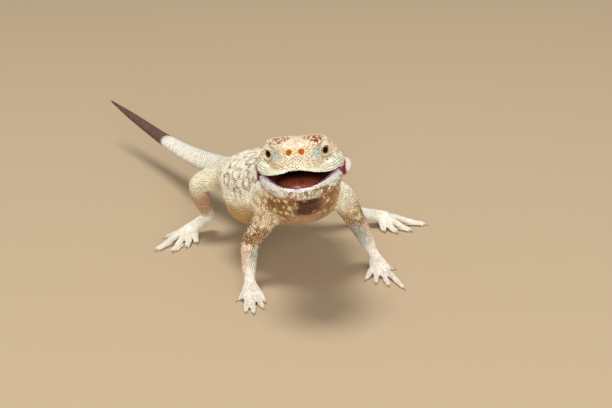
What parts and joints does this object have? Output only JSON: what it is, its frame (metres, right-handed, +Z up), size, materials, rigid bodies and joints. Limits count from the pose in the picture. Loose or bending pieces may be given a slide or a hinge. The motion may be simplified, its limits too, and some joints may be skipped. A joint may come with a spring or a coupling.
{
  "type": "secret toad-headed agama",
  "caption": "Still life-size model of a secret toad-headed agama that stands on sand-coloured legs with its head raised, mouth wide open and tail held off the ground.",
  "frame": {"origin": "middle of the model's bounding box, on the floor it stands on", "axes": "+Y along the body towards the tail, so the head looks towards -Y and a little towards -X; +X to the animal's left; +Z up"},
  "size_m": [0.0928, 0.2186, 0.0582],
  "materials": {
    "head_skin": "matt granular skin, cream and ivory with rust-brown specks",
    "body_skin": "matt scaly skin, sandy cream with brown net and pale spots",
    "limb_skin": "matt scaly skin, cream to pinkish tan",
    "foot_skin": "matt scaly skin, ivory white",
    "tail_skin": "matt scaly skin, ivory white",
    "tail_dark_skin": "matt scaly skin, dark mauve brown",
    "mouth_skin": "moist, salmon and maroon",
    "eye": "wet gloss, black pupil in a golden brown iris"
  },
  "bodies": {
    "root": {"head": "head_skin", "lower_jaw": "head_skin", "tongue": "mouth_skin", "neck": "body_skin", "torso": "body_skin", "tail_base": "tail_skin", "tail_middle": "tail_skin", "tail_tip": "tail_dark_skin", "eye_left": "eye", "eye_right": "eye", "upper_arm_left": "limb_skin", "forearm_left": "limb_skin", "hand_left": "foot_skin", "thigh_left": "limb_skin", "shin_left": "limb_skin", "foot_left": "foot_skin", "upper_arm_right": "limb_skin", "forearm_right": "limb_skin", "hand_right": "foot_skin", "thigh_right": "limb_skin", "shin_right": "limb_skin", "foot_right": "foot_skin"}
  },
  "joints": []
}
